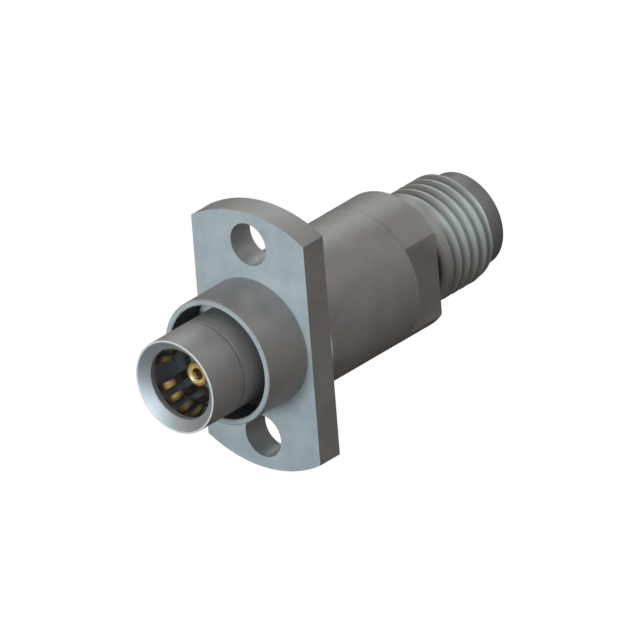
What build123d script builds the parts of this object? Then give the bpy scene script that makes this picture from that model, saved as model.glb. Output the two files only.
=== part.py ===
from build123d import *
import os
from math import radians, sin, tan

os.makedirs("parts", exist_ok=True)

# Float mount coaxial adapter, millimetres
# The axis is Y and the rear is +Y, +Z is up, the origin is the centre of the flange's front face
# "ahead" is a distance from the flange's front face towards -Y, every other place is a y value

# Flange and housing, built outwards from the bore: walls, then screw holes, then the flange's rim
housing_bore_diameter = 6.63
sleeve_wall = 0.33
sleeve_length = 3.28
barrel_wall = 0.71
barrel_length = 7.36
rear_wall = 1.10
screw_hole_diameter = 2.49
screw_hole_gap = 0.445
flange_rim = 0.66
flange_width = 7.87
flange_thickness = 1.65
edge_break = 0.06

# Mouth of the push-on end
mouth_ahead = 6.85
tube_wall = 0.39
mouth_rim_width = 0.10
mouth_bevel_depth = 0.46
mouth_land_step = 0.265
mouth_land_length = 0.34
split_ahead = 4.25
split_gap = 0.05
spigot_length = 0.40
spigot_wall = 0.18

# Collar and stem that slide in the housing
collar_ahead = 1.05
collar_length = 1.30
collar_step = 0.515
spring_space = 0.865
stem_engagement = 2.00
slide_gap = 0.09
face_gap = 0.02
fit_gap = 0.01

# Gold spring fingers, rolled from one strip
finger_count = 16
split_angle = 184.5
split_width = 0.15
strip_thickness = 0.13
strip_seat_length = 0.85
strip_band_length = 0.35
finger_slot_width = 0.46
finger_bow = 0.51
finger_crest_ahead = 4.85
finger_tip_ahead = 5.85
finger_tip_drop = 0.10
finger_root_length = 0.15
finger_crest_length = 0.16

# Line through the middle: bead, air line and contacts
lock_ring_thickness = 0.40
lock_ring_width = 0.66
bead_seat_step = 0.26
bead_thickness = 1.50
bead_hole_diameter = 1.04
line_bore_diameter = 3.50
conductor_diameter = 1.52
front_contact_diameter = 1.40
front_contact_ahead = 5.03
front_socket_diameter = 0.70
front_socket_depth = 1.80
front_rim_bevel = 0.14
stub_depth = 0.40

# Rear end: wrench section, thread and rear interface
wrench_length = 2.61
wrench_flats = 6.35
thread_diameter = 6.35
undercut_depth = 0.525
undercut_length = 0.48
thread_length = 4.45
thread_pitch = 0.7056
thread_depth = 0.30
thread_plain_length = 0.83
thread_flank_angle = 30
thread_front_bevel = 0.12
thread_rear_bevel = 0.40
land_wall = 0.42
land_length = 1.09
counterbore_diameter = 4.62
counterbore_depth = 1.93
insulator_step = 0.25
insulator_shoulder = 0.30
rear_contact_diameter = 1.27
rear_socket_diameter = 0.94
rear_socket_depth = 2.90
rear_slots = 4
first_slot_angle = 45
rear_slot_width = 0.13
rear_slot_depth = 2.30
rear_stub_diameter = 0.80
rear_stub_length = 0.90

# Spring, the two washers that it bears on, and the pale ring in front of the collar
washer_thickness = 0.30
guide_ring_thickness = 0.20
spring_side_gap = 0.16
wire_sides = 6
spring_turns = 3

# Places along the axis, front to rear
mouth_y = -mouth_ahead
bevel_end_y = mouth_y + mouth_bevel_depth
land_end_y = bevel_end_y + mouth_land_length
split_y = -split_ahead
spigot_end_y = split_y + spigot_length
band_end_y = spigot_end_y + strip_seat_length
slot_end_y = band_end_y - strip_band_length
bead_front_y = band_end_y + lock_ring_thickness
bead_rear_y = bead_front_y + bead_thickness
collar_front_y = -collar_ahead
collar_rear_y = collar_front_y + collar_length
barrel_rear_y = flange_thickness + barrel_length
rear_wall_y = barrel_rear_y - rear_wall
wrench_front_y = barrel_rear_y + face_gap
stem_end_y = wrench_front_y + stem_engagement
wrench_rear_y = wrench_front_y + wrench_length
thread_front_y = wrench_rear_y + undercut_length
thread_rear_y = thread_front_y + thread_length
tip_y = thread_rear_y + land_length
insulator_front_y = stem_end_y + insulator_shoulder
insulator_rear_y = tip_y - counterbore_depth
washer_rear_y = collar_rear_y + face_gap + washer_thickness

# Radii and pitches that fit one piece to another
housing_bore_radius = housing_bore_diameter / 2
sleeve_radius = housing_bore_radius + sleeve_wall
barrel_radius = housing_bore_radius + barrel_wall
screw_pitch = 2 * (barrel_radius + screw_hole_gap) + screw_hole_diameter
flange_diameter = screw_pitch + screw_hole_diameter + 2 * flange_rim
collar_radius = housing_bore_radius - slide_gap
stem_radius = housing_bore_radius - spring_space
stem_hole_radius = stem_radius + slide_gap
wire_diameter = spring_space - 2 * spring_side_gap
tube_radius = collar_radius - collar_step
recess_radius = tube_radius - tube_wall
mouth_land_radius = recess_radius - mouth_land_step
spigot_radius = recess_radius + spigot_wall
bead_seat_radius = recess_radius - bead_seat_step
band_radius = recess_radius - fit_gap
thread_radius = thread_diameter / 2
undercut_radius = thread_radius - undercut_depth
land_radius = counterbore_diameter / 2 + land_wall
insulator_seat_radius = counterbore_diameter / 2 - insulator_step

# Housing: sleeve, flange with two flats and two screw holes, and barrel, turned from one bar
with BuildPart() as flange_housing:
    with BuildSketch(Plane.XZ):
        Circle(flange_diameter / 2)
        Rectangle(flange_width, flange_diameter, mode=Mode.INTERSECT)
        with GridLocations(0, screw_pitch, 1, 2):
            Circle(screw_hole_diameter / 2, mode=Mode.SUBTRACT)
    extrude(amount=-flange_thickness)
    with BuildSketch(Plane.XZ.offset(sleeve_length)):
        Circle(sleeve_radius)
    extrude(amount=-sleeve_length)
    with BuildSketch(Plane.XZ.offset(-flange_thickness)):
        Circle(barrel_radius)
    extrude(amount=-barrel_length)
    with BuildSketch(Plane.XZ.offset(sleeve_length)):
        Circle(housing_bore_radius)
    extrude(amount=-(sleeve_length + rear_wall_y), mode=Mode.SUBTRACT)
    with BuildSketch(Plane.XZ.offset(-rear_wall_y)):
        Circle(stem_hole_radius)
    extrude(amount=-rear_wall, mode=Mode.SUBTRACT)
    round_edges = flange_housing.edges().filter_by(GeomType.CIRCLE).sort_by(Axis.Y)
    chamfer(round_edges[:2], edge_break)
    chamfer(round_edges[-2:].sort_by(SortBy.RADIUS)[0], edge_break)
flange_housing.part.label = "flange_housing"
export_step(flange_housing.part, "parts/flange_housing.step")

# Mouth shell: the tube's front part with its bevelled mouth, and a thin spigot at its rear
with BuildPart() as mouth_shell:
    with BuildSketch(Plane.XY):
        with BuildLine():
            Polyline(
                (tube_radius, mouth_y),
                (tube_radius, split_y),
                (spigot_radius - fit_gap, split_y),
                (spigot_radius - fit_gap, spigot_end_y),
                (recess_radius, spigot_end_y),
                (recess_radius, land_end_y),
                (mouth_land_radius, land_end_y),
                (mouth_land_radius, bevel_end_y),
                (tube_radius - mouth_rim_width, mouth_y),
                close=True,
            )
        make_face()
    revolve(axis=Axis.Y)
mouth_shell.part.label = "mouth_shell"
export_step(mouth_shell.part, "parts/mouth_shell.step")

# Front body: the tube's rear part, the collar that slides in the housing, and the long stem
with BuildPart() as front_body:
    with BuildSketch(Plane.XY):
        with BuildLine():
            Polyline(
                (spigot_radius, split_y + split_gap),
                (tube_radius, split_y + split_gap),
                (tube_radius, collar_front_y),
                (collar_radius, collar_front_y),
                (collar_radius, collar_rear_y),
                (stem_radius, collar_rear_y),
                (stem_radius, stem_end_y),
                (line_bore_diameter / 2, stem_end_y),
                (line_bore_diameter / 2, bead_rear_y),
                (bead_seat_radius, bead_rear_y),
                (bead_seat_radius, bead_front_y),
                (recess_radius, bead_front_y),
                (recess_radius, spigot_end_y),
                (spigot_radius, spigot_end_y),
                close=True,
            )
        make_face()
    revolve(axis=Axis.Y)
front_body.part.label = "front_body"
export_step(front_body.part, "parts/front_body.step")

# Guide ring: a pale ring on the tube in front of the collar, it shows at the bottom of the gap
with BuildPart() as guide_ring:
    with BuildSketch(Plane.XZ.offset(collar_ahead)):
        Circle(collar_radius)
        Circle(tube_radius + fit_gap, mode=Mode.SUBTRACT)
    extrude(amount=guide_ring_thickness)
guide_ring.part.label = "guide_ring"
export_step(guide_ring.part, "parts/guide_ring.step")

# Finger strip: a rolled band with spring fingers that bow in towards the axis, one place left open
# where the ends of the strip meet
strip_middle = band_radius - strip_thickness / 2
crest_middle = band_radius - finger_bow + strip_thickness / 2
with BuildPart() as finger_strip:
    with BuildSketch(Plane.XY):
        with BuildLine():
            Polyline(
                (strip_middle, band_end_y),
                (strip_middle, spigot_end_y - finger_root_length),
                (crest_middle, -finger_crest_ahead + finger_crest_length / 2),
                (crest_middle, -finger_crest_ahead - finger_crest_length / 2),
                (strip_middle - finger_tip_drop, -finger_tip_ahead),
            )
        trace(line_width=strip_thickness)
    revolve(axis=Axis.Y)
    slot_length = finger_tip_ahead + slot_end_y + strip_thickness
    half_pitch = 180 / finger_count
    with BuildSketch(Plane.XZ.offset(-slot_end_y)):
        with PolarLocations(recess_radius, finger_count, start_angle=split_angle + half_pitch):
            Rectangle(2 * recess_radius, finger_slot_width)
    extrude(amount=slot_length, mode=Mode.SUBTRACT)
    # the open place has no finger, and the band is split behind it
    with BuildSketch(Plane.XZ.offset(-slot_end_y)):
        with PolarLocations(recess_radius, 1, start_angle=split_angle):
            Rectangle(2 * recess_radius, 2 * strip_middle * sin(radians(half_pitch)))
    extrude(amount=slot_length, mode=Mode.SUBTRACT)
    with BuildSketch(Plane.XZ.offset(-band_end_y)):
        with PolarLocations(recess_radius, 1, start_angle=split_angle):
            Rectangle(2 * recess_radius, split_width)
    extrude(amount=strip_band_length, mode=Mode.SUBTRACT)
finger_strip.part.label = "finger_strip"
export_step(finger_strip.part, "parts/finger_strip.step")

# Lock ring: pressed in behind the fingers, it keeps the bead in its seat
with BuildPart() as lock_ring:
    with BuildSketch(Plane.XZ.offset(-band_end_y)):
        Circle(band_radius)
        Circle(band_radius - lock_ring_width, mode=Mode.SUBTRACT)
    extrude(amount=-lock_ring_thickness)
lock_ring.part.label = "lock_ring"
export_step(lock_ring.part, "parts/lock_ring.step")

# Front bead: the insulator that carries the centre conductor, held between the ring and a step
with BuildPart() as front_bead:
    with BuildSketch(Plane.XZ.offset(-bead_front_y)):
        Circle(bead_seat_radius - fit_gap)
    extrude(amount=-bead_thickness)
    with Locations(Plane.XZ.offset(-bead_front_y)):
        Hole(bead_hole_diameter / 2 + fit_gap)
front_bead.part.label = "front_bead"
export_step(front_bead.part, "parts/front_bead.step")

# Front contact: a gold socket with a bevelled, closed rim, on the conductor's stub
with BuildPart() as front_contact:
    with BuildSketch(Plane.XZ.offset(front_contact_ahead)):
        Circle(front_contact_diameter / 2)
    extrude(amount=-(front_contact_ahead + bead_front_y))
    chamfer(front_contact.edges().group_by(Axis.Y)[0], front_rim_bevel)
    with BuildSketch(Plane.XZ.offset(front_contact_ahead)):
        Circle(front_socket_diameter / 2)
    extrude(amount=-front_socket_depth, mode=Mode.SUBTRACT)
    chamfer(front_contact.edges().group_by(Axis.Y)[0].sort_by(SortBy.RADIUS)[0], edge_break)
    with BuildSketch(Plane.XZ.offset(-bead_front_y)):
        Circle(bead_hole_diameter / 2 + fit_gap)
    extrude(amount=stub_depth, mode=Mode.SUBTRACT)
front_contact.part.label = "front_contact"
export_step(front_contact.part, "parts/front_contact.step")

# Centre conductor: a rod in air, with a stub through the bead and a blind hole at its rear
with BuildPart() as centre_conductor:
    with BuildSketch(Plane.XZ.offset(-bead_rear_y)):
        Circle(conductor_diameter / 2)
    extrude(amount=-(insulator_front_y - bead_rear_y))
    with BuildSketch(Plane.XZ.offset(-bead_rear_y)):
        Circle(bead_hole_diameter / 2)
    extrude(amount=bead_thickness + stub_depth)
    with BuildSketch(Plane.XZ.offset(-insulator_front_y)):
        Circle(rear_stub_diameter / 2 + fit_gap)
    extrude(amount=rear_stub_length, mode=Mode.SUBTRACT)
centre_conductor.part.label = "centre_conductor"
export_step(centre_conductor.part, "parts/centre_conductor.step")

# Rear contact: the socket of the threaded end, level with its insulator, on a stub in the rod
with BuildPart() as rear_contact:
    with BuildSketch(Plane.XZ.offset(-insulator_front_y)):
        Circle(rear_contact_diameter / 2)
    extrude(amount=-(insulator_rear_y - insulator_front_y))
    with BuildSketch(Plane.XZ.offset(-insulator_front_y)):
        Circle(rear_stub_diameter / 2)
    extrude(amount=rear_stub_length)
    with BuildSketch(Plane.XZ.offset(-insulator_rear_y)):
        Circle(rear_socket_diameter / 2)
    extrude(amount=rear_socket_depth, mode=Mode.SUBTRACT)
    chamfer(rear_contact.edges().group_by(Axis.Y)[-1].sort_by(SortBy.RADIUS)[0], edge_break)
    with BuildSketch(Plane.XZ.offset(-insulator_rear_y)):
        with PolarLocations(rear_contact_diameter / 2, rear_slots, start_angle=first_slot_angle):
            Rectangle(rear_contact_diameter, rear_slot_width)
    extrude(amount=rear_slot_depth, mode=Mode.SUBTRACT)
rear_contact.part.label = "rear_contact"
export_step(rear_contact.part, "parts/rear_contact.step")

# Rear insulator: a white sleeve round the rear contact
with BuildPart() as rear_insulator:
    with BuildSketch(Plane.XZ.offset(-insulator_front_y)):
        Circle(insulator_seat_radius - fit_gap)
        Circle(rear_contact_diameter / 2 + fit_gap, mode=Mode.SUBTRACT)
    extrude(amount=-(insulator_rear_y - insulator_front_y))
rear_insulator.part.label = "rear_insulator"
export_step(rear_insulator.part, "parts/rear_insulator.step")

# Rear body: wrench section, undercut, threaded barrel and plain land, pressed on the stem
# The thread is right-handed: a V groove cut one turn at a time behind a plain stretch of the barrel
with BuildPart() as rear_body:
    with BuildSketch(Plane.XY):
        with BuildLine():
            Polyline(
                (stem_radius + fit_gap, wrench_front_y),
                (barrel_radius, wrench_front_y),
                (barrel_radius, wrench_rear_y),
                (undercut_radius, wrench_rear_y),
                (undercut_radius, thread_front_y),
                (thread_radius - thread_front_bevel, thread_front_y),
                (thread_radius, thread_front_y + thread_front_bevel),
                (thread_radius, thread_rear_y - thread_rear_bevel),
                (thread_radius - thread_rear_bevel, thread_rear_y),
                (land_radius, thread_rear_y),
                (land_radius, tip_y),
                (counterbore_diameter / 2, tip_y),
                (counterbore_diameter / 2, insulator_rear_y),
                (insulator_seat_radius, insulator_rear_y),
                (insulator_seat_radius, insulator_front_y),
                (line_bore_diameter / 2, insulator_front_y),
                (line_bore_diameter / 2, stem_end_y),
                (stem_radius + fit_gap, stem_end_y),
                close=True,
            )
        make_face()
    revolve(axis=Axis.Y)
    rings = rear_body.edges().filter_by(GeomType.CIRCLE)
    chamfer(rings.sort_by(SortBy.RADIUS)[-2:].sort_by(Axis.Y)[-1], edge_break)
    chamfer(rings.group_by(Axis.Y)[-1], edge_break)
    with BuildSketch(Plane.XZ.offset(-wrench_front_y)):
        Circle(2 * barrel_radius)
        Rectangle(wrench_flats, 4 * barrel_radius, mode=Mode.SUBTRACT)
    extrude(amount=-wrench_length, mode=Mode.SUBTRACT)
    groove_half = (thread_depth + edge_break) * tan(radians(thread_flank_angle))
    groove = [(edge_break, -groove_half), (edge_break, groove_half), (-thread_depth, 0)]
    groove_y = thread_front_y + thread_plain_length
    turns = int((thread_rear_y - groove_y) / thread_pitch)
    for turn_y in [groove_y + turn * thread_pitch for turn in range(turns)]:
        with BuildLine() as path:
            Helix(thread_pitch, thread_pitch, thread_radius, center=(0, turn_y, 0), direction=(0, 1, 0))
        start = path.line @ 0
        with BuildSketch(Plane(start, x_dir=start - Vector(0, turn_y, 0), z_dir=path.line % 0)):
            with BuildLine():
                Polyline(*groove, close=True)
            make_face()
        sweep(is_frenet=True, mode=Mode.SUBTRACT)
rear_body.part.label = "rear_body"
export_step(rear_body.part, "parts/rear_body.step")

# Thrust washer: it lies between the collar and the spring, so that the connector can turn
with BuildPart() as thrust_washer:
    with BuildSketch(Plane.XZ.offset(-(collar_rear_y + face_gap))):
        Circle(collar_radius)
        Circle(stem_hole_radius, mode=Mode.SUBTRACT)
    extrude(amount=-washer_thickness)
thrust_washer.part.label = "thrust_washer"
export_step(thrust_washer.part, "parts/thrust_washer.step")

# Seat washer: the spring's rear end bears on it, against the housing's rear wall
with BuildPart() as seat_washer:
    with BuildSketch(Plane.XZ.offset(-rear_wall_y)):
        Circle(housing_bore_radius - fit_gap)
        Circle(stem_hole_radius, mode=Mode.SUBTRACT)
    extrude(amount=washer_thickness)
seat_washer.part.label = "seat_washer"
export_step(seat_washer.part, "parts/seat_washer.step")

# Compression spring round the stem, its two ends ground flat
spring_front_y = washer_rear_y + face_gap
spring_rear_y = rear_wall_y - washer_thickness
spring_length = spring_rear_y - spring_front_y
with BuildPart() as compression_spring:
    with BuildLine():
        coil = Helix(
            pitch=spring_length / spring_turns,
            height=spring_length,
            radius=stem_radius + spring_space / 2,
            center=(0, spring_front_y, 0),
            direction=(0, 1, 0),
        )
    with BuildSketch(Plane(origin=coil @ 0, z_dir=coil % 0)):
        RegularPolygon(wire_diameter / 2, wire_sides)
    sweep(is_frenet=True)
    split(bisect_by=Plane.XZ.offset(-spring_front_y), keep=Keep.BOTTOM)
    split(bisect_by=Plane.XZ.offset(-spring_rear_y), keep=Keep.TOP)
compression_spring.part.label = "compression_spring"
export_step(compression_spring.part, "parts/compression_spring.step")
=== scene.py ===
import bmesh
import bpy
import math
from mathutils import Matrix, Vector


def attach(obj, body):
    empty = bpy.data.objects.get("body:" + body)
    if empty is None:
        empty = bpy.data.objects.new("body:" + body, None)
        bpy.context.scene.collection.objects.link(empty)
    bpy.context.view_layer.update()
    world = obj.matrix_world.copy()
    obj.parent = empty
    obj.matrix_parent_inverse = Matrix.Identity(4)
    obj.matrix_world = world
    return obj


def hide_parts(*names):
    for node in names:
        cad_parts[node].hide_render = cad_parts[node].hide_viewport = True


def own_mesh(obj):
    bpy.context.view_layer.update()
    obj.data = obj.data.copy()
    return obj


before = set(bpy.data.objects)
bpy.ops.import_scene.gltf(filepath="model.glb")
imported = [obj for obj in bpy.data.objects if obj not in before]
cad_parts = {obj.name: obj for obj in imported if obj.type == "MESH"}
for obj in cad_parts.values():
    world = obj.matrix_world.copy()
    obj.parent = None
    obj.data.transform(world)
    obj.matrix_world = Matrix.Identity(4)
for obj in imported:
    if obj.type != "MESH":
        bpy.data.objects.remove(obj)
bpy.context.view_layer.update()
print("frame loaded,", len(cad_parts), "nodes")

mm = 0.001


# Camera: parallel projection, turned and rolled as the photograph was taken
cameraSetup = {
    "azimuth": 41.75,
    "elevation": 25.33,
    "roll": -4.56,
    "viewWidth": 34.483 * mm,
    "sideShift": 3.462 * mm,
    "upShift": 1.086 * mm,
    "distance": 200 * mm,
    "nearest": 10 * mm,
    "farthest": 2000 * mm,
}


def makeCamera(setup):
    az = math.radians(setup["azimuth"])
    el = math.radians(setup["elevation"])
    roll = math.radians(setup["roll"])
    back = Vector((math.sin(az) * math.cos(el), -math.cos(az) * math.cos(el), math.sin(el)))
    level = Vector((0, 0, 1)).cross(back).normalized()
    upright = back.cross(level)
    right = math.cos(roll) * level + math.sin(roll) * upright
    up = math.cos(roll) * upright - math.sin(roll) * level
    data = bpy.data.cameras.new("camera")
    data.type = "ORTHO"
    data.ortho_scale = setup["viewWidth"]
    data.clip_start = setup["nearest"]
    data.clip_end = setup["farthest"]
    camera = bpy.data.objects.new("camera", data)
    bpy.context.scene.collection.objects.link(camera)
    camera.location = setup["sideShift"] * right + setup["upShift"] * up + setup["distance"] * back
    camera.rotation_mode = "QUATERNION"
    camera.rotation_quaternion = Matrix([right, up, back]).transposed().to_quaternion()
    bpy.context.scene.camera = camera


makeCamera(cameraSetup)
print("camera placed")


# Adds a node: its inputs, by name or index, take sockets to link or plain values; its settings follow
def addNode(tree, kind, inputs=None, **settings):
    node = tree.nodes.new(kind)
    for key, value in settings.items():
        setattr(node, key, value)
    for socket, source in (inputs or {}).items():
        if isinstance(source, bpy.types.NodeSocket):
            tree.links.new(source, node.inputs[socket])
        else:
            node.inputs[socket].default_value = source
    return node


def mathNode(tree, operation, *values, clamp=False):
    inputs = dict(enumerate(values))
    return addNode(tree, "ShaderNodeMath", inputs, operation=operation, use_clamp=clamp).outputs[0]


# Distance from the Y axis
def axisDistance(tree, x, z):
    squares = mathNode(tree, "ADD", mathNode(tree, "MULTIPLY", x, x), mathNode(tree, "MULTIPLY", z, z))
    return mathNode(tree, "SQRT", squares)


# Maps the first span of values to the second and stays within it
def mapRange(tree, value, source, target, kind="LINEAR"):
    return addNode(tree, "ShaderNodeMapRange", {
        "Value": value, "From Min": source[0], "From Max": source[1],
        "To Min": target[0], "To Max": target[1],
    }, interpolation_type=kind).outputs[0]


def noise(tree, place, scale, detail, roughness=0.5, dimensions="3D"):
    return addNode(tree, "ShaderNodeTexNoise", {
        "Vector": place, "Scale": scale, "Detail": detail, "Roughness": roughness,
    }, noise_dimensions=dimensions).outputs[0]


# A Mix node's colour sockets share their names with its number sockets, so they go by index
def mixColours(tree, share, first, second):
    node = addNode(tree, "ShaderNodeMix", {"Factor": share, 6: first, 7: second}, data_type="RGBA")
    return node.outputs[2]


def newMaterial(name):
    material = bpy.data.materials.new(name)
    material.use_nodes = True
    tree = material.node_tree
    tree.nodes.clear()
    return material, tree


def colour(red, green, blue):
    return (red, green, blue, 1.0)


sectorSharpness = 20.0  # how fast a zone's share falls off at the sides of its sector


# Colour zones of a piece: each has a span of radius, a span of y and, if need be, a middle angle and half
# width in degrees
def addZones(tree, shade, place, zones):
    x, y, z = addNode(tree, "ShaderNodeSeparateXYZ", {"Vector": place}).outputs
    radius = axisDistance(tree, x, z)
    for zone in zones:
        share = 1.0
        for value, (start, end) in ((radius, zone["radii"]), (y, zone["ys"])):
            for edge, sign in ((start, 1.0), (end, -1.0)):
                past = mathNode(tree, "SUBTRACT", value, edge)
                away = mathNode(tree, "MULTIPLY", past, sign / zone["soft"])
                share = mathNode(tree, "MULTIPLY", share, mathNode(tree, "ADD", away, 0.5, clamp=True))
        if "around" in zone:
            centre, half = (math.radians(angle) for angle in zone["around"])
            turn = mathNode(tree, "SUBTRACT", mathNode(tree, "ARCTAN2", z, x), centre)
            within = mathNode(tree, "SUBTRACT", mathNode(tree, "COSINE", turn), math.cos(half))
            sector = mathNode(tree, "MULTIPLY", within, sectorSharpness)
            share = mathNode(tree, "MULTIPLY", share, mathNode(tree, "ADD", sector, 0.5, clamp=True))
        shade = mixColours(tree, share, shade, colour(*zone["colour"]))
    return shade


toneSpan = (0.32, 0.68)  # the part of the mixed noise that runs from the dark colour to the light one
grainSpan = (0.3, 0.7)  # the part of the grain that runs from the smoothest finish to the roughest


# Metal: blasted and turned, with fine grain, soft clouds and tool lines round the axis
def turnedMetal(name, setup, zones=()):
    material, tree = newMaterial(name)
    place = addNode(tree, "ShaderNodeTexCoord").outputs["Object"]
    x, y, z = addNode(tree, "ShaderNodeSeparateXYZ", {"Vector": place}).outputs
    lineSpot = addNode(tree, "ShaderNodeCombineXYZ", {"X": axisDistance(tree, x, z), "Y": y}).outputs[0]
    lines = noise(tree, lineSpot, setup["lineScale"], 3.0, 0.6, "2D")
    clouds = noise(tree, place, setup["cloudScale"], 4.0, 0.55)
    grain = noise(tree, place, setup["grainScale"], 2.0, 0.6)
    cloudPart = mathNode(tree, "MULTIPLY", clouds, 1.0 - setup["lineShare"])
    linePart = mathNode(tree, "MULTIPLY", lines, setup["lineShare"])
    tone = mapRange(tree, mathNode(tree, "ADD", cloudPart, linePart), toneSpan, (0.0, 1.0))
    shade = mixColours(tree, tone, colour(*setup["dark"]), colour(*setup["light"]))
    shade = addZones(tree, shade, place, zones)
    halfGrain = mathNode(tree, "MULTIPLY", grain, 0.5)
    wear = mathNode(tree, "ADD", halfGrain, mathNode(tree, "MULTIPLY", clouds, 0.5))
    rough = mapRange(tree, wear, grainSpan, (setup["smoothest"], setup["roughest"]))
    grainHeight = mathNode(tree, "MULTIPLY", grain, setup["grainDepth"])
    lineHeight = mathNode(tree, "MULTIPLY", lines, setup["lineDepth"])
    bump = addNode(tree, "ShaderNodeBump", {
        "Height": mathNode(tree, "ADD", grainHeight, lineHeight), "Strength": 1.0, "Distance": 1.0,
    })
    shader = addNode(tree, "ShaderNodeBsdfPrincipled", {
        "Base Color": shade, "Roughness": rough, "Normal": bump.outputs[0], "Metallic": setup["metallic"],
    })
    shader.inputs["Specular IOR Level"].default_value = setup["specular"]
    addNode(tree, "ShaderNodeOutputMaterial", {"Surface": shader.outputs[0]})
    return material


blasted = {
    "dark": (0.350, 0.375, 0.385),
    "light": (0.440, 0.450, 0.435),
    "metallic": 0.25,
    "specular": 0.4,
    "smoothest": 0.45,
    "roughest": 0.60,
    "cloudScale": 700.0,
    "grainScale": 9000.0,
    "lineScale": 7000.0,
    "grainDepth": 0.0000040,
    "lineDepth": 0.0000010,
    "lineShare": 0.12,
}
steel = turnedMetal("blastedSteel", blasted)
# painted shade: the lock ring, deep inside, gets a darker copy of the steel
paintedShadeSteel = turnedMetal("paintedShadeSteel", dict(blasted, dark=(0.15, 0.17, 0.19), light=(0.20, 0.22, 0.24)))
# painted shade: the housing's bore is painted dark inside
housingSteel = turnedMetal("housingSteel", blasted, [
    {"colour": (0.13, 0.145, 0.15), "radii": (0, 3.36 * mm), "ys": (-3.20 * mm, 9.10 * mm),
     "soft": 0.06 * mm},
])
# painted light and shade on the thread: its crests are painted pale as a highlight; its grooves, the land
# behind it and the undercut are painted darker as shade
threadSteel = turnedMetal("threadSteel", blasted, [
    {"colour": (0.46, 0.51, 0.51), "radii": (3.02 * mm, 3.40 * mm), "ys": (13.12 * mm, 16.60 * mm),
     "soft": 0.14 * mm},
    {"colour": (0.28, 0.32, 0.33), "radii": (2.70 * mm, 3.00 * mm), "ys": (12.90 * mm, 16.56 * mm),
     "soft": 0.10 * mm},
    {"colour": (0.24, 0.25, 0.25), "radii": (2.20 * mm, 3.00 * mm), "ys": (16.60 * mm, 17.80 * mm),
     "soft": 0.10 * mm},
    {"colour": (0.16, 0.14, 0.12), "radii": (2.40 * mm, 2.90 * mm), "ys": (11.60 * mm, 12.20 * mm),
     "soft": 0.10 * mm},
])
# painted light and shade in the mouth: painted slate shade in the recess behind its land, painted shade on
# the land, and a painted highlight on its outer rim
mouthSteel = turnedMetal("mouthSteel", blasted, [
    {"colour": (0.29, 0.34, 0.42), "radii": (0, 2.36 * mm), "ys": (-6.04 * mm, -3.80 * mm),
     "soft": 0.02 * mm},
    {"colour": (0.30, 0.32, 0.31), "radii": (0, 2.10 * mm), "ys": (-6.38 * mm, -6.04 * mm),
     "soft": 0.02 * mm},
    {"colour": (0.68, 0.65, 0.60), "radii": (2.60 * mm, 2.80 * mm), "ys": (-7.00 * mm, -6.80 * mm),
     "soft": 0.02 * mm},
])
# the bevel of the mouth is cut bright, so it mirrors the light softly
bevelSteel = turnedMetal("bevelSteel", dict(blasted, **{
    "dark": (0.48, 0.495, 0.51),
    "light": (0.55, 0.56, 0.565),
    "metallic": 0.9,
    "smoothest": 0.52,
    "roughest": 0.62,
    "lineShare": 0.4,
}))

springSteel = turnedMetal("springSteel", {
    "dark": (0.30, 0.30, 0.31),
    "light": (0.42, 0.42, 0.43),
    "metallic": 0.8,
    "specular": 0.5,
    "smoothest": 0.28,
    "roughest": 0.40,
    "cloudScale": 900.0,
    "grainScale": 12000.0,
    "lineScale": 2500.0,
    "grainDepth": 0.0000015,
    "lineDepth": 0.0000010,
    "lineShare": 0.3,
})

plated = {
    "dark": (0.70, 0.42, 0.12),
    "light": (1.0, 0.68, 0.24),
    "metallic": 0.55,
    "specular": 0.5,
    "smoothest": 0.30,
    "roughest": 0.45,
    "cloudScale": 1600.0,
    "grainScale": 15000.0,
    "lineScale": 9000.0,
    "grainDepth": 0.0000015,
    "lineDepth": 0.0000010,
    "lineShare": 0.3,
}
gold = turnedMetal("wornGold", plated)
# painted shade on the fingers: darker at the bottom and at the upper left, and brown at their tips and
# roots
fingerGold = turnedMetal("fingerGold", plated, [
    {"colour": (0.28, 0.20, 0.09), "radii": (0, 3 * mm), "ys": (-7 * mm, 0), "soft": 0.1 * mm,
     "around": (-85, 45)},
    {"colour": (0.46, 0.30, 0.11), "radii": (0, 3 * mm), "ys": (-7 * mm, 0), "soft": 0.1 * mm,
     "around": (140, 30)},
    {"colour": (0.24, 0.14, 0.05), "radii": (0, 3 * mm), "ys": (-6.00 * mm, -5.56 * mm), "soft": 0.26 * mm},
    {"colour": (0.15, 0.10, 0.05), "radii": (0, 3 * mm), "ys": (-5.06 * mm, -2.00 * mm), "soft": 0.60 * mm},
])
# painted shade on the contact: bronze round its rounded outer edge and dark down its side
contactGold = turnedMetal("contactGold", dict(plated, **{
    "dark": (0.92, 0.64, 0.22),
    "light": (1.0, 0.82, 0.38),
    "metallic": 0.6,
    "smoothest": 0.25,
    "roughest": 0.38,
    "lineShare": 0.1,
}), [
    {"colour": (0.62, 0.34, 0.10), "radii": (0.50 * mm, 0.80 * mm), "ys": (-5.10 * mm, -4.70 * mm),
     "soft": 0.06 * mm},
    {"colour": (0.14, 0.07, 0.02), "radii": (0.66 * mm, 1 * mm), "ys": (-4.84 * mm, -2.00 * mm),
     "soft": 0.10 * mm},
])
# the contact's hole is painted dark as shade, with one small painted glint on its lower left wall
holeGold = turnedMetal("holeGold", dict(plated, **{
    "dark": (0.26, 0.12, 0.03),
    "light": (0.34, 0.16, 0.05),
    "metallic": 0.1,
    "smoothest": 0.30,
    "roughest": 0.40,
}), [
    {"colour": (1.0, 0.86, 0.55), "radii": (0, 0.37 * mm), "ys": (-4.86 * mm, -4.72 * mm),
     "soft": 0.04 * mm, "around": (-143, 30)},
])


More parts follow.
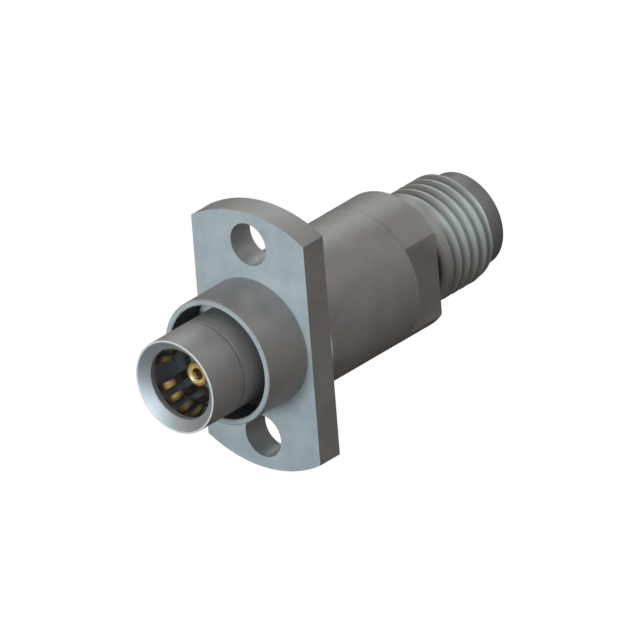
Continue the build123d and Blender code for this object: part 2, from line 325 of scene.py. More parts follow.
def plastic(name, setup, zones=()):
    material, tree = newMaterial(name)
    place = addNode(tree, "ShaderNodeTexCoord").outputs["Object"]
    clouds = noise(tree, place, setup["cloudScale"], 3.0)
    grain = noise(tree, place, setup["grainScale"], 2.0)
    shade = mixColours(tree, clouds, colour(*setup["dark"]), colour(*setup["light"]))
    shade = addZones(tree, shade, place, zones)
    rough = mapRange(tree, grain, grainSpan, (setup["smoothest"], setup["roughest"]))
    bump = addNode(tree, "ShaderNodeBump", {
        "Height": mathNode(tree, "MULTIPLY", grain, setup["grainDepth"]), "Strength": 1.0, "Distance": 1.0,
    })
    shader = addNode(tree, "ShaderNodeBsdfPrincipled", {
        "Base Color": shade, "Roughness": rough, "Normal": bump.outputs[0],
    })
    addNode(tree, "ShaderNodeOutputMaterial", {"Surface": shader.outputs[0]})
    return material


whiteInsulator = plastic("whiteInsulator", {
    "dark": (0.78, 0.78, 0.75),
    "light": (0.90, 0.90, 0.88),
    "smoothest": 0.35,
    "roughest": 0.5,
    "cloudScale": 900.0,
    "grainScale": 8000.0,
    "grainDepth": 0.000002,
})

# the guide ring is painted with light and shade: a pale painted lit patch at the upper left only, and dark
# brown painted shade all the rest of the way round
paintedLightAndShadeRing = plastic("paintedLightAndShadeRing", {
    "dark": (0.016, 0.014, 0.011),
    "light": (0.026, 0.023, 0.018),
    "smoothest": 0.4,
    "roughest": 0.55,
    "cloudScale": 900.0,
    "grainScale": 8000.0,
    "grainDepth": 0.000002,
}, [
    {"colour": (0.40, 0.38, 0.34), "radii": (0, 4 * mm), "ys": (-2 * mm, 0), "soft": 0.02 * mm,
     "around": (126, 22)},
])

beadPlastic = plastic("beadPlastic", {
    "dark": (0.045, 0.045, 0.05),
    "light": (0.075, 0.075, 0.085),
    "smoothest": 0.5,
    "roughest": 0.62,
    "cloudScale": 900.0,
    "grainScale": 8000.0,
    "grainDepth": 0.000001,
})
print("materials made")


# Solids that keep their own shape get a better finish
finishes = {
    "flange_housing": housingSteel,
    "front_body": steel,
    "lock_ring": paintedShadeSteel,
    "thrust_washer": steel,
    "seat_washer": steel,
    "centre_conductor": gold,
    "rear_contact": gold,
    "front_bead": beadPlastic,
    "guide_ring": paintedLightAndShadeRing,
    "rear_insulator": whiteInsulator,
}
for node, material in finishes.items():
    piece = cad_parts[node]
    piece.data.materials.clear()
    piece.data.materials.append(material)


# Rounds the corners of a profile: each point is (radius, y, how far its rounding reaches)
def softened(corners, steps):
    profile = []
    for index, (radius, y, reach) in enumerate(corners):
        here = Vector((radius, y))
        if not reach:
            profile.append((radius, y))
            continue
        before = Vector(corners[index - 1][:2])
        after = Vector(corners[(index + 1) % len(corners)][:2])
        start = here + (before - here).normalized() * reach
        end = here + (after - here).normalized() * reach
        for step in range(steps + 1):
            t = step / steps
            spot = start * (1 - t) ** 2 + here * (2 * t * (1 - t)) + end * t ** 2
            profile.append((spot.x, spot.y))
    return profile


leastStep = 0.002  # columns of points that stand closer than this angle, in radians, are left out


# The angles at which a turned piece has points: even steps, and the corners that its flats make
def columnAngles(profile, steps, flats, flatRows):
    angles = [2 * math.pi * index / steps for index in range(steps)]
    if not flats:
        return angles
    cutRadii = {profile[row][0] for row in range(*flatRows) if profile[row][0] > flats}
    for radius in cutRadii:
        corner = math.acos(flats / radius)
        angles += [corner, math.pi - corner, math.pi + corner, 2 * math.pi - corner]
    kept = []
    for angle in sorted(angles):
        if not kept or angle - kept[-1] > leastStep:
            kept.append(angle)
    return kept


# A closed profile, a loop of (radius, y), turned round the Y axis: flats may cut some of its rows
def turnProfile(name, profile, steps, flats=None, flatRows=(0, 0), material=steel):
    angles = columnAngles(profile, steps, flats, flatRows)
    count = len(angles)
    points = []
    for row, (radius, y) in enumerate(profile):
        for angle in angles:
            reach = radius
            across = abs(math.cos(angle))
            if flats and flatRows[0] <= row < flatRows[1] and reach * across > flats:
                reach = flats / across
            points.append((reach * math.cos(angle), y, reach * math.sin(angle)))
    faces = []
    for row in range(len(profile)):
        nextRow = (row + 1) % len(profile)
        if profile[row][0] == 0 and profile[nextRow][0] == 0:
            continue
        here = row * count
        there = nextRow * count
        for index in range(count):
            nextIndex = (index + 1) % count
            faces.append((here + index, here + nextIndex, there + nextIndex, there + index))
    mesh = bpy.data.meshes.new(name)
    mesh.from_pydata(points, [], faces)
    mesh.materials.append(material)
    piece = bpy.data.objects.new(name, mesh)
    bpy.context.scene.collection.objects.link(piece)
    return piece


weldDistance = 1e-7  # points closer than this are one point


def faceOutwards(mesh, sharpAngle):
    shape = bmesh.new()
    shape.from_mesh(mesh)
    bmesh.ops.remove_doubles(shape, verts=shape.verts, dist=weldDistance)
    bmesh.ops.recalc_face_normals(shape, faces=shape.faces)
    shape.to_mesh(mesh)
    shape.free()
    for polygon in mesh.polygons:
        polygon.use_smooth = True
    mesh.set_sharp_from_angle(angle=math.radians(sharpAngle))


# Gives a second material to the faces whose middle lies within a span of radius and a span of y
def coatSpan(mesh, material, radii, ys):
    mesh.materials.append(material)
    for polygon in mesh.polygons:
        x, y, z = polygon.center
        if radii[0] < math.hypot(x, z) < radii[1] and ys[0] < y < ys[1]:
            polygon.material_index = 1


# Turns a piece with its Geometry Nodes into a plain mesh
def settle(piece, sharpAngle):
    graph = bpy.context.evaluated_depsgraph_get()
    mesh = bpy.data.meshes.new_from_object(piece.evaluated_get(graph))
    piece.modifiers.clear()
    mesh.name = piece.name
    piece.data = mesh
    faceOutwards(mesh, sharpAngle)
    return piece


def nodeModifier(piece, tree, values):
    modifier = piece.modifiers.new(tree.name, "NODES")
    modifier.node_group = tree
    for item in tree.interface.items_tree:
        if item.item_type == "SOCKET" and item.in_out == "INPUT" and item.name in values:
            modifier[item.identifier] = values[item.name]


def newTree(name, inputs):
    tree = bpy.data.node_groups.new(name, "GeometryNodeTree")
    tree.interface.new_socket("Geometry", in_out="INPUT", socket_type="NodeSocketGeometry")
    for label, kind in inputs:
        tree.interface.new_socket(label, in_out="INPUT", socket_type=kind)
    tree.interface.new_socket("Geometry", in_out="OUTPUT", socket_type="NodeSocketGeometry")
    return tree, addNode(tree, "NodeGroupInput"), addNode(tree, "NodeGroupOutput")


# Each tree ends in one realized mesh that carries its material
def endTree(tree, geometry, material, result):
    whole = addNode(tree, "GeometryNodeRealizeInstances", {"Geometry": geometry}).outputs[0]
    coated = addNode(tree, "GeometryNodeSetMaterial", {"Geometry": whole, "Material": material}).outputs[0]
    tree.links.new(coated, result.inputs[0])
    return tree


# Threaded rear body: wrench flats, undercut, right-handed thread and plain land
rearBody = {
    "boreRadius": 2.46 * mm,
    "outerRadius": 4.025 * mm,
    "edgeBreak": 0.06 * mm,
    "flatHalf": 3.175 * mm,
    "wrenchFront": 9.03 * mm,
    "wrenchRear": 11.64 * mm,
    "undercutRadius": 2.65 * mm,
    "undercutFillet": 0.08 * mm,
    "threadFront": 12.12 * mm,
    "threadRear": 16.57 * mm,
    "threadRadius": 3.175 * mm,
    "frontBevel": 0.12 * mm,
    "rearBevel": 0.40 * mm,
    "landRadius": 2.73 * mm,
    "tip": 17.66 * mm,
    "counterboreRadius": 2.31 * mm,
    "insulatorRear": 15.73 * mm,
    "insulatorFront": 11.33 * mm,
    "seatRadius": 2.06 * mm,
    "lineRadius": 1.75 * mm,
    "stemEnd": 11.03 * mm,
    "steps": 192,
    "sharpAngle": 32,
    "pitch": 0.7056 * mm,
    "depth": 0.30 * mm,
    "grooveStart": 12.95 * mm,
    "grooveTurns": 5.3,
    "runIn": 0.22,  # turns over which the groove grows to its full depth
    "rootEnd": 0.02,  # the groove's bottom ends and its crest starts at these shares of half a pitch
    "crestStart": 0.80,
    "rowsPerTurn": 24,
    "endMargin": 0.001 * mm,  # the cut takes in the thread's front edge and leaves out its rear one
    "coreRadius": 2.60 * mm,  # nothing nearer the axis is moved
}


def threadTree():
    tree, given, result = newTree("cutThread", [
        ("Pitch", "NodeSocketFloat"), ("Depth", "NodeSocketFloat"), ("Crest Radius", "NodeSocketFloat"),
        ("Groove Start", "NodeSocketFloat"), ("Turns", "NodeSocketFloat"), ("Run In", "NodeSocketFloat"),
        ("Root End", "NodeSocketFloat"), ("Crest Start", "NodeSocketFloat"), ("Front", "NodeSocketFloat"),
        ("Rear", "NodeSocketFloat"), ("Core", "NodeSocketFloat"), ("Material", "NodeSocketMaterial"),
    ])
    g = given.outputs
    spot = addNode(tree, "GeometryNodeInputPosition").outputs[0]
    x, y, z = addNode(tree, "ShaderNodeSeparateXYZ", {"Vector": spot}).outputs
    radius = axisDistance(tree, x, z)
    # where a point lies on the right-handed helix: the nearest groove, and the turns made along it
    turned = mathNode(tree, "DIVIDE", mathNode(tree, "ARCTAN2", x, z), 2 * math.pi)
    along = mathNode(tree, "DIVIDE", mathNode(tree, "SUBTRACT", y, g["Groove Start"]), g["Pitch"])
    offset = mathNode(tree, "SUBTRACT", along, turned)
    nearest = mathNode(tree, "ROUND", offset)
    fromGroove = mathNode(tree, "ABSOLUTE", mathNode(tree, "SUBTRACT", offset, nearest))
    fromGroove = mathNode(tree, "MULTIPLY", fromGroove, 2.0)
    crest = mapRange(tree, fromGroove, (g["Root End"], g["Crest Start"]), (0.0, 1.0), "SMOOTHSTEP")
    turnsMade = mathNode(tree, "ADD", nearest, turned)
    running = mapRange(tree, turnsMade, (0.0, g["Run In"]), (0.0, 1.0), "SMOOTHSTEP")
    running = mathNode(tree, "MULTIPLY", running, mathNode(tree, "LESS_THAN", turnsMade, g["Turns"]))
    deep = mathNode(tree, "MULTIPLY", mathNode(tree, "SUBTRACT", 1.0, crest), g["Depth"])
    groove = mathNode(tree, "MULTIPLY", deep, running)
    cut = mathNode(tree, "MINIMUM", radius, mathNode(tree, "SUBTRACT", g["Crest Radius"], groove))
    share = mathNode(tree, "DIVIDE", cut, radius)
    moved = addNode(tree, "ShaderNodeCombineXYZ", {
        "X": mathNode(tree, "MULTIPLY", x, share), "Y": y, "Z": mathNode(tree, "MULTIPLY", z, share),
    })
    inFront = mathNode(tree, "GREATER_THAN", y, g["Front"])
    inRear = mathNode(tree, "LESS_THAN", y, g["Rear"])
    outside = mathNode(tree, "GREATER_THAN", radius, g["Core"])
    chosen = mathNode(tree, "MULTIPLY", mathNode(tree, "MULTIPLY", inFront, inRear), outside)
    place = addNode(tree, "GeometryNodeSetPosition", {
        "Geometry": g["Geometry"], "Selection": chosen, "Position": moved.outputs[0],
    })
    return endTree(tree, place.outputs[0], g["Material"], result)


def makeRearBody(setup):
    s = setup
    edge = s["edgeBreak"]
    fillet = s["undercutFillet"]
    frontTop = s["threadRadius"] - s["frontBevel"]
    rearTop = s["threadRadius"] - s["rearBevel"]
    profile = [(s["boreRadius"], s["wrenchFront"]), (s["outerRadius"], s["wrenchFront"])]
    profile += [(s["outerRadius"], s["wrenchRear"] - edge), (s["outerRadius"] - edge, s["wrenchRear"])]
    flatRows = (1, len(profile))
    profile += [(s["undercutRadius"] + fillet, s["wrenchRear"])]
    profile += [(s["undercutRadius"], s["wrenchRear"] + fillet)]
    profile += [(s["undercutRadius"], s["threadFront"]), (frontTop, s["threadFront"])]
    span = s["threadRear"] - s["threadFront"]
    rows = int(round(span / s["pitch"] * s["rowsPerTurn"]))
    for row in range(1, rows):
        y = s["threadFront"] + span * row / rows
        fromFront = frontTop + (y - s["threadFront"])
        fromRear = rearTop + (s["threadRear"] - y)
        profile.append((min(s["threadRadius"], fromFront, fromRear), y))
    profile += [(rearTop, s["threadRear"]), (s["landRadius"], s["threadRear"])]
    profile += [(s["landRadius"], s["tip"] - edge), (s["landRadius"] - edge, s["tip"])]
    profile += [(s["counterboreRadius"] + edge, s["tip"]), (s["counterboreRadius"], s["tip"] - edge)]
    profile += [(s["counterboreRadius"], s["insulatorRear"]), (s["seatRadius"], s["insulatorRear"])]
    profile += [(s["seatRadius"], s["insulatorFront"]), (s["lineRadius"], s["insulatorFront"])]
    profile += [(s["lineRadius"], s["stemEnd"]), (s["boreRadius"], s["stemEnd"])]
    piece = turnProfile("threadedBody", profile, s["steps"], flats=s["flatHalf"], flatRows=flatRows)
    nodeModifier(piece, threadTree(), {
        "Pitch": s["pitch"], "Depth": s["depth"], "Crest Radius": s["threadRadius"],
        "Groove Start": s["grooveStart"], "Turns": s["grooveTurns"], "Run In": s["runIn"],
        "Root End": s["rootEnd"], "Crest Start": s["crestStart"], "Core": s["coreRadius"],
        "Front": s["threadFront"] - s["endMargin"], "Rear": s["threadRear"] - s["endMargin"],
        "Material": threadSteel,
    })
    return settle(piece, s["sharpAngle"])


threadedBody = makeRearBody(rearBody)
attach(threadedBody, "connector")
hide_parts("rear_body")
print("threaded body made,", len(threadedBody.data.polygons), "faces")


# Mouth shell: bevelled mouth, land, recess for the fingers and spigot, with its edges rounded
mouthShell = {
    "steps": 160,
    "roundingSteps": 4,
    "sharpAngle": 32,
    "bevelRadii": (2.06 * mm, 2.60 * mm),
    "bevelYs": (-6.85 * mm, -6.36 * mm),
    "corners": [
        (2.71 * mm, -6.85 * mm, 0.05 * mm),
        (2.71 * mm, -4.25 * mm, 0.015 * mm),
        (2.49 * mm, -4.25 * mm, 0),
        (2.49 * mm, -3.85 * mm, 0),
        (2.32 * mm, -3.85 * mm, 0),
        (2.32 * mm, -6.05 * mm, 0),
        (2.055 * mm, -6.05 * mm, 0),
        (2.055 * mm, -6.39 * mm, 0.03 * mm),
        (2.61 * mm, -6.85 * mm, 0.02 * mm),
    ],
}
mouthProfile = softened(mouthShell["corners"], mouthShell["roundingSteps"])
roundedMouth = turnProfile("roundedMouth", mouthProfile, mouthShell["steps"], material=mouthSteel)
faceOutwards(roundedMouth.data, mouthShell["sharpAngle"])
coatSpan(roundedMouth.data, bevelSteel, mouthShell["bevelRadii"], mouthShell["bevelYs"])
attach(roundedMouth, "connector")
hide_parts("mouth_shell")
print("mouth made,", len(roundedMouth.data.polygons), "faces")


# Front contact: a gold socket with a bevelled, well rounded rim
frontContact = {
    "steps": 96,
    "roundingSteps": 8,
    "sharpAngle": 32,
    "holeRadii": (0, 0.352 * mm),
    "holeYs": (-5.03 * mm, -3.20 * mm),
    "corners": [
        (0, -3.23 * mm, 0),
        (0.35 * mm, -3.23 * mm, 0),
        (0.35 * mm, -4.91 * mm, 0.02 * mm),
        (0.47 * mm, -5.03 * mm, 0.03 * mm),
        (0.70 * mm, -5.03 * mm, 0.18 * mm),
        (0.70 * mm, -2.60 * mm, 0),
        (0.53 * mm, -2.60 * mm, 0),
        (0.53 * mm, -3.00 * mm, 0),
        (0, -3.00 * mm, 0),
    ],
}
contactProfile = softened(frontContact["corners"], frontContact["roundingSteps"])
roundedContact = turnProfile("roundedContact", contactProfile, frontContact["steps"], material=contactGold)
faceOutwards(roundedContact.data, frontContact["sharpAngle"])
coatSpan(roundedContact.data, holeGold, frontContact["holeRadii"], frontContact["holeYs"])
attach(roundedContact, "connector")
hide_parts("front_contact")
print("contact made,", len(roundedContact.data.polygons), "faces")


# Gold spring fingers: one bowed finger set round the axis, one place left open, and their rolled band
fingers = {
    "places": 16,
    "openAngle": 184.5,
    "bandRadius": 2.245 * mm,
    "rootY": -4.00 * mm,
    "crestRadius": 1.865 * mm,
    "crestY": -4.85 * mm,
    "tipRadius": 2.145 * mm,
    "tipY": -5.85 * mm,
    "tipFlat": 0.15 * mm,
    "bandRearY": -3.00 * mm,
    "bandFrontY": -3.35 * mm,
    "bandOverlap": 0.05 * mm,  # the fingers start this far inside the band
    "thickness": 0.13 * mm,
    "width": 0.41 * mm,
    "splitWidth": 0.15 * mm,
    "fingerCounts": (7, 30, 3),
    "bandCounts": (129, 3, 2),
    "sharpAngle": 50,
}


def fingerTree(fingerCounts, bandCounts):
    tree, given, result = newTree("setFingers", [
        ("Places", "NodeSocketInt"), ("Open Angle", "NodeSocketFloat"), ("Band Radius", "NodeSocketFloat"),
        ("Crest Radius", "NodeSocketFloat"), ("Tip Radius", "NodeSocketFloat"), ("Root", "NodeSocketFloat"),
        ("Crest", "NodeSocketFloat"), ("Tip", "NodeSocketFloat"), ("Tip Flat", "NodeSocketFloat"),
        ("Band Rear", "NodeSocketFloat"), ("Band Front", "NodeSocketFloat"), ("Overlap", "NodeSocketFloat"),
        ("Thickness", "NodeSocketFloat"), ("Width", "NodeSocketFloat"), ("Split Width", "NodeSocketFloat"),
        ("Material", "NodeSocketMaterial"),
    ])
    g = given.outputs

    # a unit block: x runs across, y along from band to tip, z through the strip
    def block(counts):
        return addNode(tree, "GeometryNodeMeshCube", {
            "Size": (1.0, 1.0, 1.0),
            "Vertices X": counts[0], "Vertices Y": counts[1], "Vertices Z": counts[2],
        }).outputs["Mesh"]

    def bend(mesh, along, angle, radius):
        x = mathNode(tree, "MULTIPLY", radius, mathNode(tree, "COSINE", angle))
        z = mathNode(tree, "MULTIPLY", radius, mathNode(tree, "SINE", angle))
        spot = addNode(tree, "ShaderNodeCombineXYZ", {"X": x, "Y": along, "Z": z}).outputs[0]
        return addNode(tree, "GeometryNodeSetPosition", {"Geometry": mesh, "Position": spot}).outputs[0]

    spot = addNode(tree, "GeometryNodeInputPosition").outputs[0]
    across, along, through = addNode(tree, "ShaderNodeSeparateXYZ", {"Vector": spot}).outputs
    offset = mathNode(tree, "MULTIPLY", through, g["Thickness"])

    # finger: straight root, rounded bow in to the crest, then out to the short flat tip
    share = mathNode(tree, "ADD", along, 0.5)
    start = mathNode(tree, "ADD", g["Band Front"], g["Overlap"])
    y = mapRange(tree, share, (0.0, 1.0), (start, g["Tip"]))
    inwardSpan = (g["Root"], g["Crest"])
    inward = mapRange(tree, y, inwardSpan, (g["Band Radius"], g["Crest Radius"]), "SMOOTHSTEP")
    outwardSpan = (g["Crest"], mathNode(tree, "ADD", g["Tip"], g["Tip Flat"]))
    rise = mathNode(tree, "SUBTRACT", g["Tip Radius"], g["Crest Radius"])
    outward = mapRange(tree, y, outwardSpan, (0.0, rise), "SMOOTHSTEP")
    radius = mathNode(tree, "ADD", mathNode(tree, "ADD", inward, outward), offset)
    angle = mathNode(tree, "DIVIDE", mathNode(tree, "MULTIPLY", across, g["Width"]), g["Band Radius"])
    finger = bend(block(fingerCounts), y, angle, radius)
    finger = addNode(tree, "GeometryNodeSetShadeSmooth", {"Geometry": finger}).outputs[0]

    # every place but one, starting one step past the open one
    pointCount = mathNode(tree, "SUBTRACT", g["Places"], 1.0)
    places = addNode(tree, "GeometryNodePoints", {"Count": pointCount}).outputs[0]
    index = addNode(tree, "GeometryNodeInputIndex").outputs[0]
    step = mathNode(tree, "DIVIDE", 2 * math.pi, g["Places"])
    turnFromOpen = mathNode(tree, "MULTIPLY", mathNode(tree, "ADD", index, 1.0), step)
    turn = mathNode(tree, "ADD", turnFromOpen, g["Open Angle"])
    rotation = addNode(tree, "ShaderNodeCombineXYZ", {"Y": mathNode(tree, "MULTIPLY", turn, -1.0)})
    copies = addNode(tree, "GeometryNodeInstanceOnPoints", {
        "Points": places, "Instance": finger, "Rotation": rotation.outputs[0],
    }).outputs[0]

    # band: a long block rolled up, with a narrow split behind the open place
    halfWidth = mathNode(tree, "MULTIPLY", g["Split Width"], 0.5)
    halfSplit = mathNode(tree, "DIVIDE", halfWidth, g["Band Radius"])
    bandSpan = mathNode(tree, "SUBTRACT", 2 * math.pi, mathNode(tree, "MULTIPLY", halfSplit, 2.0))
    bandStart = mathNode(tree, "ADD", g["Open Angle"], halfSplit)
    bandTurn = mathNode(tree, "MULTIPLY", mathNode(tree, "ADD", across, 0.5), bandSpan)
    bandAngle = mathNode(tree, "ADD", bandStart, bandTurn)
    bandY = mapRange(tree, share, (0.0, 1.0), (g["Band Rear"], g["Band Front"]))
    bandRadius = mathNode(tree, "ADD", g["Band Radius"], offset)
    band = bend(block(bandCounts), bandY, bandAngle, bandRadius)

    joined = addNode(tree, "GeometryNodeJoinGeometry")
    tree.links.new(copies, joined.inputs[0])
    tree.links.new(band, joined.inputs[0])
    return endTree(tree, joined.outputs[0], g["Material"], result)


def makeFingers(setup):
    s = setup
    piece = bpy.data.objects.new("goldFingers", bpy.data.meshes.new("goldFingers"))
    bpy.context.scene.collection.objects.link(piece)
    nodeModifier(piece, fingerTree(s["fingerCounts"], s["bandCounts"]), {
        "Places": s["places"], "Open Angle": math.radians(s["openAngle"]), "Split Width": s["splitWidth"],
        "Band Radius": s["bandRadius"], "Crest Radius": s["crestRadius"], "Tip Radius": s["tipRadius"],
        "Root": s["rootY"], "Crest": s["crestY"], "Tip": s["tipY"], "Tip Flat": s["tipFlat"],
        "Band Rear": s["bandRearY"], "Band Front": s["bandFrontY"], "Overlap": s["bandOverlap"],
        "Thickness": s["thickness"], "Width": s["width"], "Material": fingerGold,
    })
    return settle(piece, s["sharpAngle"])


goldFingers = makeFingers(fingers)
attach(goldFingers, "connector")
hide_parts("finger_strip")
print("fingers made,", len(goldFingers.data.polygons), "faces")


# Compression spring: round wire on a helix with closed ends, ground flat
spring = {
    "frontY": 0.59 * mm,
    "rearY": 7.61 * mm,
    "coilRadius": 2.8825 * mm,
    "wireRadius": 0.2725 * mm,
    "turns": 5.0,
    "endRise": 1.9,  # a closed end turn rises by so many wire radii
    "stepsPerTurn": 48,
    "wireSides": 14,
    "sharpAngle": 60,
    "shortestShare": (7.02 - 1.52) / 7.02,  # 7.02 mm at rest, and a stroke of 1.52 mm
}


def springTree():
    tree, given, result = newTree("windSpring", [
        ("Front", "NodeSocketFloat"), ("Rear", "NodeSocketFloat"), ("Coil Radius", "NodeSocketFloat"),
        ("Wire Radius", "NodeSocketFloat"), ("Turns", "NodeSocketFloat"), ("End Rise", "NodeSocketFloat"),
        ("Points", "NodeSocketInt"), ("Wire Sides", "NodeSocketInt"), ("Material", "NodeSocketMaterial"),
    ])
    g = given.outputs
    line = addNode(tree, "GeometryNodeCurvePrimitiveLine", {"End": (0.0, 1.0, 0.0)}).outputs[0]
    line = addNode(tree, "GeometryNodeResampleCurve", {"Curve": line, "Count": g["Points"]}).outputs[0]
    share = addNode(tree, "GeometryNodeSplineParameter").outputs["Factor"]
    turn = mathNode(tree, "MULTIPLY", share, mathNode(tree, "MULTIPLY", g["Turns"], 2 * math.pi))
    # the first and last turns lie against the next one, the others share the rest of the length
    endRise = mathNode(tree, "MULTIPLY", g["Wire Radius"], g["End Rise"])
    turnsDone = mathNode(tree, "MULTIPLY", share, g["Turns"])
    startPart = mathNode(tree, "MULTIPLY", mathNode(tree, "MINIMUM", turnsDone, 1.0), endRise)
    middleTurns = mathNode(tree, "SUBTRACT", g["Turns"], 2.0)
    length = mathNode(tree, "SUBTRACT", g["Rear"], g["Front"])
    room = mathNode(tree, "SUBTRACT", length, mathNode(tree, "MULTIPLY", endRise, 2.0))
    pastFirst = mathNode(tree, "MAXIMUM", mathNode(tree, "SUBTRACT", turnsDone, 1.0), 0.0)
    middleDone = mathNode(tree, "MINIMUM", pastFirst, middleTurns)
    middlePart = mathNode(tree, "MULTIPLY", mathNode(tree, "DIVIDE", middleDone, middleTurns), room)
    lastStart = mathNode(tree, "ADD", middleTurns, 1.0)
    endDone = mathNode(tree, "MAXIMUM", mathNode(tree, "SUBTRACT", turnsDone, lastStart), 0.0)
    endPart = mathNode(tree, "MULTIPLY", endDone, endRise)
    risen = mathNode(tree, "ADD", startPart, mathNode(tree, "ADD", middlePart, endPart))
    spot = addNode(tree, "ShaderNodeCombineXYZ", {
        "X": mathNode(tree, "MULTIPLY", mathNode(tree, "SINE", turn), g["Coil Radius"]),
        "Y": mathNode(tree, "ADD", g["Front"], risen),
        "Z": mathNode(tree, "MULTIPLY", mathNode(tree, "COSINE", turn), g["Coil Radius"]),
    })
    coil = addNode(tree, "GeometryNodeSetPosition", {
        "Geometry": line, "Position": spot.outputs[0],
    }).outputs[0]
    ring = addNode(tree, "GeometryNodeCurvePrimitiveCircle", {
        "Resolution": g["Wire Sides"], "Radius": g["Wire Radius"],
    }).outputs[0]
    wire = addNode(tree, "GeometryNodeCurveToMesh", {
        "Curve": coil, "Profile Curve": ring, "Fill Caps": True,
    }).outputs[0]
    # ground ends: nothing stands past the two end planes
    place = addNode(tree, "GeometryNodeInputPosition").outputs[0]
    x, y, z = addNode(tree, "ShaderNodeSeparateXYZ", {"Vector": place}).outputs
    held = mathNode(tree, "MINIMUM", mathNode(tree, "MAXIMUM", y, g["Front"]), g["Rear"])
    flat = addNode(tree, "ShaderNodeCombineXYZ", {"X": x, "Y": held, "Z": z}).outputs[0]
    ground = addNode(tree, "GeometryNodeSetPosition", {"Geometry": wire, "Position": flat}).outputs[0]
    return endTree(tree, ground, g["Material"], result)


def makeSpring(setup):
    s = setup
    piece = bpy.data.objects.new("springCoil", bpy.data.meshes.new("springCoil"))
    bpy.context.scene.collection.objects.link(piece)
    nodeModifier(piece, springTree(), {
        "Front": s["frontY"], "Rear": s["rearY"], "Turns": s["turns"], "End Rise": s["endRise"],
        "Coil Radius": s["coilRadius"], "Wire Radius": s["wireRadius"], "Wire Sides": s["wireSides"],
        "Points": int(s["turns"] * s["stepsPerTurn"]) + 1, "Material": springSteel,
    })
    return settle(piece, s["sharpAngle"])


springCoil = makeSpring(spring)
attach(springCoil, "housing")
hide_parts("compression_spring")
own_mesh(springCoil)
print("spring made,", len(springCoil.data.polygons), "faces")


# Floor: plain, white to the camera, and a warm grey to the light that it throws back on the object
stageSetup = {
    "floorZ": -7.62 * mm,
    "floorSize": 400 * mm,
    "floorColour": (0.20, 0.17, 0.15),
    "cameraShare": 0.95,
    "glossyShare": 0.0,  # none in reflections, because the photograph's undersides are dark
    "whiteStrength": 1.06,
}


def makeFloor(setup):
    half = setup["floorSize"] / 2
    z = setup["floorZ"]
    mesh = bpy.data.meshes.new("floor")
    corners = [(-half, -half, z), (half, -half, z), (half, half, z), (-half, half, z)]
    mesh.from_pydata(corners, [], [(0, 1, 2, 3)])
    material, tree = newMaterial("paleFloor")
    rays = addNode(tree, "ShaderNodeLightPath")
    seenByCamera = mathNode(tree, "MULTIPLY", rays.outputs["Is Camera Ray"], setup["cameraShare"])
    mirrored = mathNode(tree, "MAXIMUM", rays.outputs["Is Glossy Ray"], rays.outputs["Is Transmission Ray"])
    seenInMetal = mathNode(tree, "MULTIPLY", mirrored, setup["glossyShare"])
    seen = mathNode(tree, "MAXIMUM", seenByCamera, seenInMetal)
    paint = addNode(tree, "ShaderNodeBsdfDiffuse", {"Color": colour(*setup["floorColour"])})
    white = addNode(tree, "ShaderNodeEmission", {
        "Color": colour(1.0, 1.0, 1.0), "Strength": setup["whiteStrength"],
    })
    mixed = addNode(tree, "ShaderNodeMixShader", {"Fac": seen, 1: paint.outputs[0], 2: white.outputs[0]})
    addNode(tree, "ShaderNodeOutputMaterial", {"Surface": mixed.outputs[0]})
    mesh.materials.append(material)
    floor = bpy.data.objects.new("floor", mesh)
    bpy.context.scene.collection.objects.link(floor)


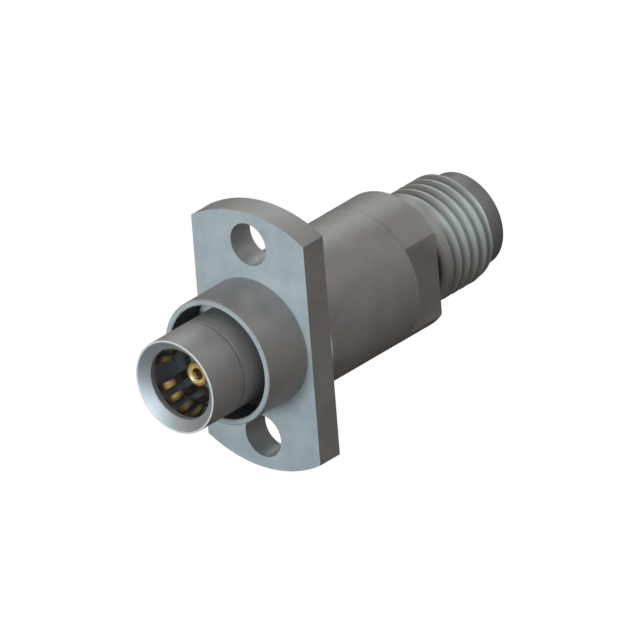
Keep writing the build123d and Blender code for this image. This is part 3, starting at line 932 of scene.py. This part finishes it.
# Light: a cool key in front, two weak lamps above and behind, a small one straight behind, a narrow one for
# the thread, and a dim warm room
lights = {
    "key": {
        "from": (0.03, -0.985, 0.13), "distance": 500 * mm, "size": 200 * mm, "power": 2.6,
        "colour": (0.727, 0.909, 1.0),
    },
    "topLeft": {
        "from": (-0.44, 0.67, 0.60), "distance": 500 * mm, "size": 200 * mm, "power": 0.43,
        "colour": (0.90, 1.0, 0.97),
    },
    "rear": {
        "from": (0.0, 1.0, 0.0), "distance": 500 * mm, "size": 50 * mm, "power": 1.0,
        "colour": (0.80, 0.94, 1.0),
    },
    "topRight": {
        "from": (0.42, 0.62, 0.66), "distance": 500 * mm, "size": 200 * mm, "power": 0.21,
        "colour": (0.90, 1.0, 0.97),
    },
}
lightAim = (0, 4 * mm, 0)
threadLight = {
    "from": (0.70, -0.20, 0.68), "distance": 60 * mm, "size": 1.5 * mm, "power": 0.070,
    "colour": (0.88, 0.99, 0.98), "aim": (1.9 * mm, 14.9 * mm, 1.5 * mm), "angle": 5.2, "softEdge": 0.6,
}
roomLight = {"colour": (1.0, 0.80, 0.74), "strength": 0.31}


# Sets a lamp out from its aim and turns it back towards it
def placeLamp(data, setup, aim):
    data.energy = setup["power"]
    data.color = setup["colour"]
    lamp = bpy.data.objects.new(data.name, data)
    bpy.context.scene.collection.objects.link(lamp)
    direction = Vector(setup["from"]).normalized()
    lamp.location = Vector(aim) + direction * setup["distance"]
    lamp.rotation_mode = "QUATERNION"
    lamp.rotation_quaternion = direction.to_track_quat("Z", "Y")


def makeLight(name, setup):
    data = bpy.data.lights.new(name, "AREA")
    data.shape = "DISK"
    data.size = setup["size"]
    placeLamp(data, setup, lightAim)


def makeSpot(name, setup):
    data = bpy.data.lights.new(name, "SPOT")
    data.spot_size = math.radians(setup["angle"])
    data.spot_blend = setup["softEdge"]
    data.shadow_soft_size = setup["size"]
    placeLamp(data, setup, setup["aim"])


# The room is dim to the object and white to the camera
def makeRoom(setup):
    world = bpy.data.worlds.new("room")
    bpy.context.scene.world = world
    world.use_nodes = True
    tree = world.node_tree
    tree.nodes.clear()
    rays = addNode(tree, "ShaderNodeLightPath").outputs["Is Camera Ray"]
    dim = addNode(tree, "ShaderNodeBackground", {
        "Color": colour(*setup["colour"]), "Strength": setup["strength"],
    })
    white = addNode(tree, "ShaderNodeBackground", {"Color": colour(1.0, 1.0, 1.0), "Strength": 1.0})
    mixed = addNode(tree, "ShaderNodeMixShader", {"Fac": rays, 1: dim.outputs[0], 2: white.outputs[0]})
    addNode(tree, "ShaderNodeOutputWorld", {"Surface": mixed.outputs[0]})


makeFloor(stageSetup)
for lampName, lampSetup in lights.items():
    makeLight(lampName, lampSetup)
makeSpot("threadLamp", threadLight)
makeRoom(roomLight)
bpy.context.scene.view_settings.view_transform = "Standard"
print("floor and lights placed")
